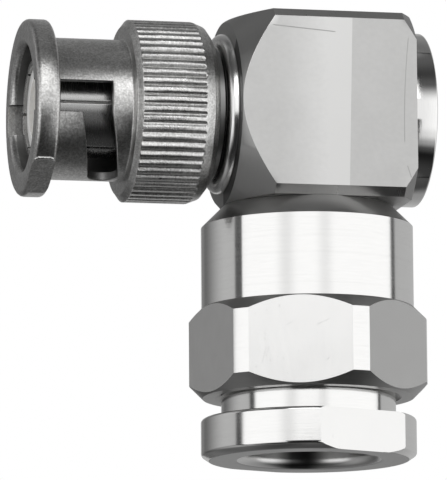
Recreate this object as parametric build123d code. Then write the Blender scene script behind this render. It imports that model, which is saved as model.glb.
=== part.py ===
from build123d import *
import os
from math import cos, pi, radians, sin, sqrt

# Right angle coaxial plug with a bayonet coupling ring, clamped on its cable by a gland nut.
# Millimetres. The cable axis is Z, with z = 0 at the gland nut's bottom face.
# The interface axis runs along X at the axis height, and the coupling ring is at -X.
# A clocking angle is measured from -Y: about Z towards +X, or about X downwards from -Y.

# Running and seating clearances
running_gap = 0.06
seat_gap = 0.02
loose_gap = 0.10

# Angle head, a square block with the two axes crossing in it
axis_height = 27.5
head_across_flats = 14.7
head_front = 6.76
head_back = 7.27
head_edge_chamfer = 0.67
head_front_radius = 7.3
head_back_radius = 8.95
head_cavity_radius = 4.2
head_floor_hole_radius = 2.6

# Bayonet coupling ring
ring_gap = 1.54
ring_length = 14.68
ring_radius = 7.25
ring_bore_radius = 4.95
ring_lead_in = 0.40
ring_chamber_radius = 5.72
flange_width = 1.65
flange_radius = 7.0
flange_front_edge = 0.22
flange_back_edge = 0.10
neck_length = 6.28
neck_radius = 5.6
shoulder_radius = 6.7
knurl_back_slope = 0.87
knurl_back_radius = 6.87
ring_back_slope = 0.50
ring_back_radius = 6.2
ridge_count = 58
ridge_depth = 0.22
ridge_crest = 0.10
ridge_end_land = 0.12
ridge_clocking = 1.76
flange_flat_clocking = 59.0
flange_flat_depth = 0.27

# Bayonet slots, two, half a turn apart
slot_count = 2
slot_clocking = -1.0
slot_width = 2.45
slot_depth_radius = 5.85
entry_length = 6.28
cam_width = 2.28
cam_turn = 79.0
cam_rise = 1.78
cam_start = 4.71

# Hub with its flange, spring washers and retaining ring
hub_radius = 4.75
hub_flange_width = 1.30
hub_bore_radius = 4.08
hub_thread_length = 3.4
chamber_depth = 4.05
groove_depth = 0.42
groove_offset = 0.73
retainer_thickness = 0.45
retainer_opening = 24.0
thrust_thickness = 0.30
wave_thickness = 0.22
wave_count = 3

# Collar between the ring and the head
collar_radius = 6.38
collar_width = 0.89
collar_round = 0.75
collar_neck_radius = 5.3
collar_neck_length = 1.25

# Interface contacts and insulators
sleeve_reach = 21.9
sleeve_tip_radius = 4.05
sleeve_tip_length = 0.95
sleeve_finger_radius = 3.78
sleeve_root_radius = 4.05
sleeve_bore_radius = 3.35
sleeve_finger_length = 7.6
sleeve_slit_width = 0.30
sleeve_slit_count = 6
sleeve_slit_clocking = 1.5
sleeve_rim_radius = 4.4
sleeve_rim_width = 0.5
gasket_thickness = 0.9
gasket_radius = 4.85
insulator_bore_radius = 2.45
insulator_bore_depth = 6.4
insulator_web = 2.4
pin_radius = 0.685
pin_tip_setback = 0.6
pin_point_length = 0.9
pin_shoulder_radius = 1.10
pin_stem_radius = 0.65
pin_stem_overrun = 1.0
rear_insulator_length = 3.2

# Rear cap over the soldering access hole
cap_radius = 6.93
cap_thickness = 1.81
cap_edge = 0.18
cap_plug_radius = 4.7
cap_plug_length = 3.0
o_ring_section = 0.45
cap_disc_thickness = 0.8
cap_disc_radius = 4.6

# Cable housing: cone, cylinder and hexagon turned from one bar
housing_bottom = 4.98
housing_radius = 8.395
housing_cone_foot = 18.52
housing_cone_top_radius = 6.75
hex_across_flats = 16.95
hex_corner_radius = 9.40
hex_height = 7.12
hex_chamfer = 1.04
hex_clocking = -17.15
housing_thread_radius = 6.95
housing_lead_in = 0.4
clamp_chamber_top = 13.6
barrel_bore_radius = 5.5
barrel_bore_depth = 3.4
bead_bore_radius = 3.65
spigot_radius = 5.4
spigot_length = 2.2

# Gland nut with two wrench flats
nut_flange_height = 3.28
nut_flange_radius = 8.5
nut_flange_edge = 0.22
nut_foot_chamfer = 0.42
nut_foot_radius = 7.87
nut_flats = 15.0
nut_flats_clocking = 21.0
nut_shank_radius = 6.89
nut_shank_length = 5.72
nut_bore_radius = 5.2
nut_mouth_radius = 5.74
nut_mouth_depth = 0.40

# Cable clamp stack and cable side contact
washer_thickness = 0.5
clamp_gasket_bore_radius = 5.25
braid_flange_height = 1.3
braid_barrel_radius = 5.4
braid_barrel_gap = 0.1
braid_bore_radius = 3.85
contact_radius = 1.6
contact_foot = 17.6
contact_bucket_radius = 1.15
contact_bucket_depth = 3.6
contact_post_radius = 1.25
contact_post_top = 1.05
bead_foot_gap = 0.15

# Places along the interface axis, as x
head_half = head_across_flats / 2
ring_back_x = -(head_front + ring_gap)
ring_front_x = ring_back_x - ring_length
flange_back_x = ring_front_x + flange_width
shoulder_x = flange_back_x + neck_length
knurl_front_x = shoulder_x + (ring_radius - shoulder_radius)
knurl_end_x = ring_back_x - ring_back_slope - knurl_back_slope
chamber_front_x = ring_back_x - chamber_depth
hub_front_x = chamber_front_x + seat_gap
hub_flange_back_x = hub_front_x + hub_flange_width
groove_back_x = ring_back_x - groove_offset
groove_front_x = groove_back_x - retainer_thickness - 2 * seat_gap
thrust_back_x = groove_front_x + seat_gap
thrust_front_x = thrust_back_x - thrust_thickness
sleeve_front_x = -sleeve_reach
hub_back_x = -head_front + hub_thread_length
sleeve_back_x = -head_front
insulator_back_x = sleeve_back_x - sleeve_rim_width
pin_tip_x = sleeve_front_x + pin_tip_setback
pin_shoulder_x = sleeve_front_x + insulator_bore_depth + insulator_web
rear_insulator_front_x = sleeve_back_x + seat_gap
rear_insulator_back_x = rear_insulator_front_x + rear_insulator_length
cap_plug_x = head_back - cap_plug_length

# Places along the cable axis, as z
head_floor_z = axis_height - head_half
hex_top_z = housing_bottom + hex_height
nut_shank_top = nut_flange_height + nut_shank_length
washer_foot = nut_shank_top + seat_gap
gasket_foot = washer_foot + washer_thickness
braid_flange_top = clamp_chamber_top - seat_gap
braid_foot = braid_flange_top - braid_flange_height
gasket_top = braid_foot - seat_gap
spigot_top = head_floor_z + spigot_length
barrel_bore_top = clamp_chamber_top + barrel_bore_depth
braid_top = barrel_bore_top - braid_barrel_gap
barrel_radius_inside = housing_thread_radius - loose_gap

interface_plane = Plane(origin=(0, 0, axis_height), x_dir=(0, -1, 0), z_dir=(1, 0, 0))


def turned_profile(points):
    """Closed face from (axial, radius) or (axial, radius, corner rounding) points."""
    corners = [(p[0], p[1]) for p in points]
    face = make_face(Polyline(*corners, close=True))
    for p in points:
        if len(p) == 3:
            corner = face.vertices().sort_by_distance((p[0], p[1], 0))[0]
            face = fillet(corner, p[2])
    return face


def turned_on_interface(points):
    """Turned solid about the interface axis. Axial values are x."""
    profile = Plane.XZ * turned_profile(points)
    return Pos(0, 0, axis_height) * revolve(profile, Axis.X)


def turned_on_cable(points):
    """Turned solid about the cable axis. Axial values are z."""
    profile = Plane(origin=(0, 0, 0), x_dir=(0, 0, 1), z_dir=(0, 1, 0)) * turned_profile(points)
    return revolve(profile, Axis.Z)


def at_interface_angle(shape, angle):
    """Turns a shape drawn along -Y about the interface axis, downwards from -Y."""
    return interface_plane * (Rot(0, 0, angle) * shape)


def coupling_ring_blank():
    """Ring before its knurl and slots: flange, slim neck, shoulder, grip band and hollow back."""
    return turned_on_interface([
        (ring_front_x + ring_lead_in, ring_bore_radius),
        (ring_front_x, ring_bore_radius + ring_lead_in),
        (ring_front_x, flange_radius - flange_front_edge),
        (ring_front_x + flange_front_edge, flange_radius),
        (flange_back_x - flange_back_edge, flange_radius),
        (flange_back_x, flange_radius - flange_back_edge),
        (flange_back_x, neck_radius),
        (shoulder_x, neck_radius),
        (shoulder_x, shoulder_radius),
        (knurl_front_x, ring_radius),
        (knurl_end_x, ring_radius),
        (ring_back_x - ring_back_slope, knurl_back_radius),
        (ring_back_x, ring_back_radius),
        (ring_back_x, ring_chamber_radius),
        (groove_back_x, ring_chamber_radius),
        (groove_back_x, ring_chamber_radius + groove_depth),
        (groove_front_x, ring_chamber_radius + groove_depth),
        (groove_front_x, ring_chamber_radius),
        (chamber_front_x, ring_chamber_radius),
        (chamber_front_x, ring_bore_radius),
    ])


def knurl_grooves():
    """Straight V grooves that run out in the front cone and stop short of the back slope."""
    pitch = 2 * pi * ring_radius / ridge_count
    half_mouth = (pitch - ridge_crest) / 2
    overshoot = 0.2
    reach = half_mouth * (ridge_depth + overshoot) / ridge_depth
    groove = make_face(Polyline(
        (ring_radius - ridge_depth, 0),
        (ring_radius + overshoot, reach),
        (ring_radius + overshoot, -reach),
        close=True,
    ))
    length = knurl_end_x - ridge_end_land - shoulder_x
    prism = Pos(0, 0, shoulder_x) * extrude(groove, length)
    step = 360 / ridge_count
    return [
        at_interface_angle(prism, ridge_clocking + step * (i + 0.5)) for i in range(ridge_count)
    ]


def bayonet_slot(angle):
    """One slot: a straight entry, a helical cam behind the front tab and a round latch pocket."""
    inner_radius = ring_bore_radius - 0.6
    depth = slot_depth_radius - inner_radius
    entry_back_x = flange_back_x - flange_width + entry_length
    overrun = 1.0
    entry = Pos(inner_radius + depth / 2, 0, ring_front_x - overrun) * Box(
        depth, slot_width, entry_back_x - ring_front_x + overrun,
        align=(Align.CENTER, Align.CENTER, Align.MIN),
    )
    mid_radius = inner_radius + depth / 2
    path = Helix(pitch=cam_rise * 360 / cam_turn, height=cam_rise, radius=mid_radius)
    section = Plane.XZ * Pos(mid_radius, 0) * Rectangle(depth, cam_width)
    cam = Pos(0, 0, ring_front_x + cam_start) * sweep(section, path, is_frenet=True)
    latch_x = ring_front_x + cam_start + cam_rise
    pocket = Pos(0, 0, latch_x) * Rot(0, 0, cam_turn) * Rot(0, 90, 0) * Cylinder(
        cam_width / 2, slot_depth_radius, align=(Align.CENTER, Align.CENTER, Align.MIN),
    )
    return [at_interface_angle(tool, angle) for tool in (entry, cam, pocket)]


def coupling_ring():
    """Knurled bayonet ring with two cam slots and the small flat on its front flange."""
    ring = coupling_ring_blank() - knurl_grooves()
    for i in range(slot_count):
        for tool in bayonet_slot(slot_clocking + i * 360 / slot_count):
            ring -= tool
    flat = Pos(flange_radius - flange_flat_depth, 0, ring_front_x - 1) * Box(
        2, 2 * flange_radius, flange_width + 1 + seat_gap,
        align=(Align.MIN, Align.CENTER, Align.MIN),
    )
    return ring - at_interface_angle(flat, flange_flat_clocking)


def retaining_ring():
    """Split ring in the groove at the back of the coupling ring's chamber."""
    inner = hub_radius + 2 * loose_gap
    outer = ring_chamber_radius + groove_depth - seat_gap
    ring = turned_on_interface([
        (groove_front_x + seat_gap, inner),
        (groove_front_x + seat_gap, outer),
        (groove_back_x - seat_gap, outer),
        (groove_back_x - seat_gap, inner),
    ])
    width = 2 * outer * sin(radians(retainer_opening / 2))
    mouth = Pos(0, 0, groove_front_x) * Box(
        outer + 1, width, retainer_thickness + 2 * seat_gap,
        align=(Align.MIN, Align.CENTER, Align.MIN),
    )
    return ring - at_interface_angle(mouth, 180)


def thrust_washer():
    """Flat washer that the coupling ring turns against."""
    inner = hub_radius + running_gap
    outer = ring_chamber_radius - loose_gap
    return turned_on_interface([
        (thrust_front_x, inner),
        (thrust_front_x, outer),
        (thrust_back_x - seat_gap, outer),
        (thrust_back_x - seat_gap, inner),
    ])


def wave_washer():
    """Spring washer with three waves, between the hub's flange and the thrust washer."""
    low = hub_flange_back_x + seat_gap + wave_thickness / 2
    high = thrust_front_x - seat_gap - wave_thickness / 2
    middle = (low + high) / 2
    swing = (high - low) / 2
    inner = hub_radius + loose_gap
    outer = ring_chamber_radius - loose_gap
    mean = (inner + outer) / 2
    stations = 8
    span = 360 / wave_count
    sections = []
    for i in range(stations + 1):
        angle = span * i / stations
        height = middle + swing * cos(radians(wave_count * angle))
        strip = Plane.XZ * Pos(mean, height) * Rectangle(outer - inner, wave_thickness)
        sections.append(Rot(0, 0, angle) * strip)
    wave = loft(sections)
    washer = wave
    for i in range(1, wave_count):
        washer += Rot(0, 0, span * i) * wave
    return interface_plane * washer


def front_body():
    """Hub that the coupling ring turns on, with its flange, screwed into the head."""
    flange = ring_chamber_radius - running_gap
    rim = sleeve_rim_radius + seat_gap
    return turned_on_interface([
        (hub_front_x, hub_bore_radius),
        (hub_front_x, flange),
        (hub_flange_back_x, flange),
        (hub_flange_back_x, hub_radius),
        (hub_back_x, hub_radius),
        (hub_back_x, rim),
        (insulator_back_x - seat_gap, rim),
        (insulator_back_x - seat_gap, hub_bore_radius),
    ])


def front_collar():
    """Collar pressed on the hub: a slim neck under the ring's back and a rounded shoulder."""
    bore = hub_radius + seat_gap
    collar_front_x = -head_front - collar_width
    return turned_on_interface([
        (collar_front_x - collar_neck_length, bore),
        (collar_front_x - collar_neck_length, collar_neck_radius),
        (collar_front_x, collar_neck_radius),
        (collar_front_x, collar_radius, collar_round),
        (-head_front, collar_radius),
        (-head_front, bore),
    ])


def interface_gasket():
    """Rubber ring on the hub's front face that the mating shell presses on."""
    return turned_on_interface([
        (hub_front_x - gasket_thickness, sleeve_root_radius + seat_gap),
        (hub_front_x - gasket_thickness, gasket_radius),
        (hub_front_x, gasket_radius),
        (hub_front_x, sleeve_root_radius + seat_gap),
    ])


def contact_sleeve():
    """Outer contact: a tube with spring fingers, a bulged tip and a rim clamped in the hub."""
    tip_back_x = sleeve_front_x + sleeve_tip_length
    finger_back_x = sleeve_front_x + sleeve_finger_length
    tube = turned_on_interface([
        (sleeve_front_x, sleeve_bore_radius),
        (sleeve_front_x, sleeve_finger_radius),
        (sleeve_front_x + sleeve_tip_length * 0.4, sleeve_tip_radius),
        (tip_back_x, sleeve_finger_radius),
        (finger_back_x, sleeve_finger_radius),
        (finger_back_x, sleeve_root_radius),
        (insulator_back_x, sleeve_root_radius),
        (insulator_back_x, sleeve_rim_radius),
        (sleeve_back_x, sleeve_rim_radius),
        (sleeve_back_x, sleeve_bore_radius),
    ])
    slit = Pos(0, 0, sleeve_front_x - 1) * Box(
        sleeve_root_radius + 1, sleeve_slit_width, sleeve_finger_length + 1,
        align=(Align.MIN, Align.CENTER, Align.MIN),
    )
    step = 360 / sleeve_slit_count
    angles = [sleeve_slit_clocking + step * i for i in range(sleeve_slit_count)]
    return tube - [at_interface_angle(slit, angle) for angle in angles]


def front_insulator():
    """Insulator inside the sleeve, open at the front round the pin."""
    outer = sleeve_bore_radius - seat_gap
    floor_x = sleeve_front_x + insulator_bore_depth
    return turned_on_interface([
        (sleeve_front_x, insulator_bore_radius),
        (sleeve_front_x, outer),
        (sleeve_back_x, outer),
        (sleeve_back_x, pin_shoulder_radius + seat_gap),
        (pin_shoulder_x - seat_gap, pin_shoulder_radius + seat_gap),
        (pin_shoulder_x - seat_gap, pin_radius + seat_gap),
        (floor_x, pin_radius + seat_gap),
        (floor_x, insulator_bore_radius),
    ])


def centre_pin():
    """Inner contact: pointed pin, stout shoulder, and a stem that ends in the cable contact."""
    return turned_on_interface([
        (pin_tip_x, 0),
        (pin_tip_x, pin_radius * 0.35),
        (pin_tip_x + pin_point_length, pin_radius),
        (pin_shoulder_x, pin_radius),
        (pin_shoulder_x, pin_shoulder_radius),
        (sleeve_back_x, pin_shoulder_radius),
        (sleeve_back_x, pin_stem_radius),
        (pin_stem_overrun, pin_stem_radius),
        (pin_stem_overrun, 0),
    ])


def rear_insulator():
    """Insulating bush behind the sleeve that backs the pin's shoulder."""
    outer = sleeve_rim_radius - loose_gap
    return turned_on_interface([
        (rear_insulator_front_x, pin_stem_radius + seat_gap),
        (rear_insulator_front_x, outer),
        (rear_insulator_back_x, outer),
        (rear_insulator_back_x, pin_stem_radius + seat_gap),
    ])


def head_block():
    """Square bar with its long edges chamfered, and both ends turned to a cone."""
    face = Plane.YZ * chamfer(
        Rectangle(head_across_flats, head_across_flats).vertices(), head_edge_chamfer
    )
    bar = Pos(-head_front, 0, axis_height) * extrude(face, head_front + head_back)
    corner = head_half * sqrt(2)
    cone = turned_on_interface([
        (-head_front, 0),
        (-head_front, head_front_radius),
        (-head_front + corner - head_front_radius, corner),
        (head_back - corner + head_back_radius, corner),
        (head_back, head_back_radius),
        (head_back, 0),
    ])
    return bar & cone


def angle_head():
    """Head bored from both ends for the hub and the cap, and from below for the housing."""
    bore = turned_on_interface([
        (-head_front, 0),
        (-head_front, hub_radius + seat_gap),
        (hub_back_x + loose_gap, hub_radius + seat_gap),
        (hub_back_x + loose_gap, head_cavity_radius),
        (cap_plug_x - cap_disc_thickness - loose_gap, head_cavity_radius),
        (cap_plug_x - cap_disc_thickness - loose_gap, cap_plug_radius + seat_gap),
        (head_back, cap_plug_radius + seat_gap),
        (head_back, 0),
    ])
    well = turned_on_cable([
        (head_floor_z, 0),
        (head_floor_z, spigot_radius + seat_gap),
        (spigot_top + loose_gap, spigot_radius + seat_gap),
        (spigot_top + loose_gap, head_floor_hole_radius),
        (axis_height, head_floor_hole_radius),
        (axis_height, 0),
    ])
    return head_block() - bore - well


def rear_cap():
    """Round cap pressed into the head, with an O ring groove in its plug."""
    groove_middle = (cap_plug_x + head_back) / 2
    groove_floor = cap_plug_radius - 2 * o_ring_section
    return turned_on_interface([
        (cap_plug_x, 0),
        (cap_plug_x, cap_plug_radius),
        (groove_middle - o_ring_section - loose_gap, cap_plug_radius),
        (groove_middle - o_ring_section - loose_gap, groove_floor - seat_gap),
        (groove_middle + o_ring_section + loose_gap, groove_floor - seat_gap),
        (groove_middle + o_ring_section + loose_gap, cap_plug_radius),
        (head_back, cap_plug_radius),
        (head_back, cap_radius),
        (head_back + cap_thickness - cap_edge, cap_radius),
        (head_back + cap_thickness, cap_radius - cap_edge),
        (head_back + cap_thickness, 0),
    ])


def o_ring(mean_radius):
    """Rubber ring about Z, its round section squeezed flat where it meets its seats."""
    section = RegularPolygon(o_ring_section, 8, major_radius=False, rotation=22.5)
    return revolve(Plane.XZ * Pos(mean_radius, 0) * section, Axis.Z)


def cap_o_ring():
    """O ring in the cap's plug."""
    groove_middle = (cap_plug_x + head_back) / 2
    ring = o_ring(cap_plug_radius - o_ring_section)
    return interface_plane * (Pos(0, 0, groove_middle) * ring)


def cap_insulator():
    """Insulating disc between the cap and the soldered joint."""
    return turned_on_interface([
        (cap_plug_x - cap_disc_thickness, 0),
        (cap_plug_x - cap_disc_thickness, cap_disc_radius),
        (cap_plug_x, cap_disc_radius),
        (cap_plug_x, 0),
    ])


def cable_contact():
    """Cable side contact: solder bucket below, and a post forked over the pin's stem."""
    top = axis_height + contact_post_top
    shoulder = spigot_top
    post = turned_on_cable([
        (contact_foot, contact_bucket_radius),
        (contact_foot, contact_radius),
        (shoulder, contact_radius),
        (shoulder, contact_post_radius),
        (top, contact_post_radius),
        (top, 0),
        (contact_foot + contact_bucket_depth, 0),
        (contact_foot + contact_bucket_depth, contact_bucket_radius),
    ])
    fork_floor = axis_height - pin_stem_radius - seat_gap
    fork = Pos(0, 0, fork_floor) * Box(
        4 * contact_post_radius, 2 * (pin_stem_radius + seat_gap), top - fork_floor + 1,
        align=(Align.CENTER, Align.CENTER, Align.MIN),
    )
    return post - fork


def cable_insulator():
    """Insulating bead that holds the cable contact in the housing's neck."""
    return turned_on_cable([
        (barrel_bore_top + bead_foot_gap, contact_radius + seat_gap),
        (barrel_bore_top + bead_foot_gap, bead_bore_radius - seat_gap),
        (spigot_top, bead_bore_radius - seat_gap),
        (spigot_top, contact_radius + seat_gap),
    ])


def hexagon_prism():
    """Hexagon with its corners turned round and its ends chamfered."""
    face = RegularPolygon(hex_across_flats / 2, 6, major_radius=False)
    prism = Pos(0, 0, housing_bottom) * Rot(0, 0, hex_clocking) * extrude(face, hex_height)
    turned = turned_on_cable([
        (housing_bottom, 0),
        (housing_bottom, hex_corner_radius - hex_chamfer),
        (housing_bottom + hex_chamfer, hex_corner_radius),
        (hex_top_z - hex_chamfer, hex_corner_radius),
        (hex_top_z, hex_corner_radius - hex_chamfer),
        (hex_top_z, 0),
    ])
    return prism & turned


def cable_housing():
    """Housing turned from hexagon bar: hexagon foot, cylinder, cone, and a spigot in the head."""
    barrel = turned_on_cable([
        (hex_top_z - 1, 0),
        (hex_top_z - 1, housing_radius),
        (housing_cone_foot, housing_radius),
        (head_floor_z, housing_cone_top_radius),
        (head_floor_z, spigot_radius),
        (spigot_top, spigot_radius),
        (spigot_top, 0),
    ])
    bore = turned_on_cable([
        (housing_bottom, 0),
        (housing_bottom, housing_thread_radius + housing_lead_in),
        (housing_bottom + housing_lead_in, housing_thread_radius),
        (clamp_chamber_top, housing_thread_radius),
        (clamp_chamber_top, barrel_bore_radius),
        (barrel_bore_top, barrel_bore_radius),
        (barrel_bore_top, bead_bore_radius),
        (spigot_top, bead_bore_radius),
        (spigot_top, 0),
    ])
    groove_z = (head_floor_z + spigot_top) / 2
    groove = turned_on_cable([
        (groove_z - o_ring_section - loose_gap, spigot_radius - 2 * o_ring_section - seat_gap),
        (groove_z - o_ring_section - loose_gap, spigot_radius + 1),
        (groove_z + o_ring_section + loose_gap, spigot_radius + 1),
        (groove_z + o_ring_section + loose_gap, spigot_radius - 2 * o_ring_section - seat_gap),
    ])
    return hexagon_prism() + barrel - bore - groove


def housing_o_ring():
    """O ring round the housing's spigot, inside the head."""
    groove_z = (head_floor_z + spigot_top) / 2
    return Pos(0, 0, groove_z) * o_ring(spigot_radius - o_ring_section)


def braid_clamp():
    """Flanged sleeve that spreads the cable's braid against the housing's step."""
    return turned_on_cable([
        (braid_foot, clamp_gasket_bore_radius),
        (braid_foot, barrel_radius_inside),
        (braid_flange_top, barrel_radius_inside),
        (braid_flange_top, braid_barrel_radius),
        (braid_top, braid_barrel_radius),
        (braid_top, braid_bore_radius),
        (braid_flange_top, braid_bore_radius),
    ])


def clamp_gasket():
    """Rubber gasket that the nut squeezes on the cable's jacket."""
    return turned_on_cable([
        (gasket_foot, clamp_gasket_bore_radius),
        (gasket_foot, barrel_radius_inside),
        (gasket_top, barrel_radius_inside),
        (gasket_top, clamp_gasket_bore_radius),
    ])


def slip_washer():
    """Flat washer between the nut and the gasket."""
    return turned_on_cable([
        (washer_foot, clamp_gasket_bore_radius),
        (washer_foot, barrel_radius_inside),
        (gasket_foot, barrel_radius_inside),
        (gasket_foot, clamp_gasket_bore_radius),
    ])


def gland_nut():
    """Nut with a flanged head, two wrench flats, a threaded shank and a countersunk mouth."""
    nut = turned_on_cable([
        (0, nut_mouth_radius),
        (0, nut_foot_radius),
        (nut_foot_chamfer, nut_flange_radius),
        (nut_flange_height - nut_flange_edge, nut_flange_radius),
        (nut_flange_height, nut_flange_radius - nut_flange_edge),
        (nut_flange_height, nut_shank_radius),
        (nut_shank_top, nut_shank_radius),
        (nut_shank_top, nut_bore_radius),
        (nut_mouth_depth, nut_bore_radius),
    ])
    for side in (0, 180):
        cut = Pos(nut_flats / 2, 0, -1) * Box(
            3, 3 * nut_flange_radius, nut_flange_height + 1 + seat_gap,
            align=(Align.MIN, Align.CENTER, Align.MIN),
        )
        nut -= Rot(0, 0, nut_flats_clocking - 90 + side) * cut
    return nut


sub_parts = {
    "coupling_ring": coupling_ring,
    "retaining_ring": retaining_ring,
    "thrust_washer": thrust_washer,
    "wave_washer": wave_washer,
    "front_body": front_body,
    "front_collar": front_collar,
    "interface_gasket": interface_gasket,
    "contact_sleeve": contact_sleeve,
    "front_insulator": front_insulator,
    "centre_pin": centre_pin,
    "rear_insulator": rear_insulator,
    "angle_head": angle_head,
    "rear_cap": rear_cap,
    "cap_o_ring": cap_o_ring,
    "cap_insulator": cap_insulator,
    "cable_contact": cable_contact,
    "cable_insulator": cable_insulator,
    "cable_housing": cable_housing,
    "housing_o_ring": housing_o_ring,
    "braid_clamp": braid_clamp,
    "clamp_gasket": clamp_gasket,
    "slip_washer": slip_washer,
    "gland_nut": gland_nut,
}

os.makedirs("parts", exist_ok=True)
for name, make in sub_parts.items():
    export_step(make(), f"parts/{name}.step")
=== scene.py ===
import bmesh
import bpy
from math import acos, asin, atan, cos, degrees, hypot, pi, radians, sin, sqrt
from mathutils import Matrix, Vector


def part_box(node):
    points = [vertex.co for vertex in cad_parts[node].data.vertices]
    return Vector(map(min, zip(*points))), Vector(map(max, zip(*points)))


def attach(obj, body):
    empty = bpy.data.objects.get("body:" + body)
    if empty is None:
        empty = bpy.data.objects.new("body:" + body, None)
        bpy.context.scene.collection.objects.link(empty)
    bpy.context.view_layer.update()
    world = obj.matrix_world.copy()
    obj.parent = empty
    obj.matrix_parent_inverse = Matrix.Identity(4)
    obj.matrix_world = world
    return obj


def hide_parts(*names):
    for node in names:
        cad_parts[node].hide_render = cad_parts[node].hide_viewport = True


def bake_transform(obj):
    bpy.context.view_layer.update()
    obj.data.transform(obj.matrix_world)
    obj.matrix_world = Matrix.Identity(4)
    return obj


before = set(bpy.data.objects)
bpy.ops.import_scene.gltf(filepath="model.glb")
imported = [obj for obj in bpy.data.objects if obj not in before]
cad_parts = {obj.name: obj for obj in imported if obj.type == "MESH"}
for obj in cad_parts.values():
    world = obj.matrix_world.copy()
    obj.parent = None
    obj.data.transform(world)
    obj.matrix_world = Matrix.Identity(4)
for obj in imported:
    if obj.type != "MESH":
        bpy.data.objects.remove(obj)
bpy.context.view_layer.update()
mm = 0.001

# The camera stands a little to the left of the plug and a little below it, as a close product
# photograph is taken, with a long lens so that the plug's edges stay nearly parallel.
view_azimuth = radians(-12.692)
view_elevation = radians(-9.157)
view_roll = radians(-0.44)
view_target = Vector((-6.767, 0, 17.422)) * mm
view_distance = 466.3 * mm
sensor_mm = 36.0
lens_mm = 443.1
nearest_seen = 10 * mm
farthest_seen = 20.0


def add_object(name, data):
    """Puts a mesh or a camera into the scene as an object at the origin."""
    made = bpy.data.objects.new(name, data)
    bpy.context.scene.collection.objects.link(made)
    return made


towards_camera = Vector((
    sin(view_azimuth) * cos(view_elevation),
    -cos(view_azimuth) * cos(view_elevation),
    sin(view_elevation),
))
level_right = Vector((cos(view_azimuth), sin(view_azimuth), 0))
level_up = towards_camera.cross(level_right)
image_right = level_right * cos(view_roll) + level_up * sin(view_roll)
image_up = level_up * cos(view_roll) - level_right * sin(view_roll)
camera_data = bpy.data.cameras.new("product_camera")
camera_data.sensor_width = sensor_mm
camera_data.lens = lens_mm
camera_data.clip_start = nearest_seen
camera_data.clip_end = farthest_seen
camera = add_object("product_camera", camera_data)
camera_axes = Matrix((image_right, image_up, towards_camera)).transposed().to_4x4()
camera_place = Matrix.Translation(view_target + towards_camera * view_distance)
camera.matrix_world = camera_place @ camera_axes
bpy.context.scene.camera = camera
bpy.context.scene.view_settings.view_transform = "Standard"


# The studio is a white light tent, open as narrow dark gaps at both sides, with its roof and its
# skirt darker than its front. Camera rays see the plain white behind the plug.
class Varying:
    """A value that varies from place to place. Arithmetic on it adds Math nodes."""

    def __init__(self, tree, output):
        self.tree = tree
        self.output = output

    def math(self, operation, *others):
        values = dict(enumerate((self, *others)))
        return add_node(self.tree, "ShaderNodeMath", {"operation": operation}, values)

    def __add__(self, other):
        return self.math("ADD", other)

    __radd__ = __add__

    def __sub__(self, other):
        return self.math("SUBTRACT", other)

    def __rsub__(self, other):
        values = {0: other, 1: self}
        return add_node(self.tree, "ShaderNodeMath", {"operation": "SUBTRACT"}, values)

    def __mul__(self, other):
        return self.math("MULTIPLY", other)

    __rmul__ = __mul__

    def __truediv__(self, other):
        return self.math("DIVIDE", other)

    def between(self, low, high):
        """0 at low, 1 at high, and a smooth rise from one to the other."""
        values = {"Value": self, "From Min": low, "From Max": high}
        smooth = {"interpolation_type": "SMOOTHSTEP"}
        return add_node(self.tree, "ShaderNodeMapRange", smooth, values)

    def within(self, start, full, still, end):
        """1 from full to still, and 0 before start and after end."""
        return self.between(start, full) * (1 - self.between(still, end))

    def near_zero(self, full, end):
        """1 up to this far from zero on either side, and 0 past the end."""
        return 1 - self.math("ABSOLUTE").between(full, end)


def add_node(tree, kind, settings=None, values=None, out=0):
    """Adds one node with its settings first, then its sockets' values or links."""
    node = tree.nodes.new(kind)
    for name, setting in (settings or {}).items():
        if name == "stops":
            while len(node.color_ramp.elements) < len(setting):
                node.color_ramp.elements.new(1)
            for element, (place, level) in zip(node.color_ramp.elements, setting):
                element.position = place
                element.color = (level, level, level, 1)
        else:
            setattr(node, name, setting)
    for name, value in (values or {}).items():
        if isinstance(value, Varying):
            tree.links.new(value.output, node.inputs[name])
        else:
            node.inputs[name].default_value = value
    return Varying(tree, node.outputs[out]) if len(node.outputs) else None


def split_xyz(place):
    """The three coordinates of a place or a direction."""
    parts = add_node(place.tree, "ShaderNodeSeparateXYZ", values={0: place})
    return [Varying(place.tree, output) for output in parts.output.node.outputs]


world = bpy.data.worlds.new("light_tent")
bpy.context.scene.world = world
world.use_nodes = True
sky = world.node_tree
sky.nodes.clear()
direction = add_node(sky, "ShaderNodeTexCoord", out="Generated")
east, north, height = split_xyz(direction)
tent_azimuth = east.math("ARCTAN2", north * -1) * degrees(1)
tent_elevation = height.math("ARCSINE") * degrees(1)


def panel_levels(stops):
    """Brightness of a tent wall by its elevation in degrees, smoothed between the stops."""
    places = [((elevation + 90) / 180, level) for elevation, level in stops]
    share = (tent_elevation + 90) / 180
    ramp = add_node(sky, "ShaderNodeValToRGB", {"stops": places}, {"Fac": share})
    ramp.output.node.color_ramp.interpolation = "EASE"
    return ramp


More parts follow.
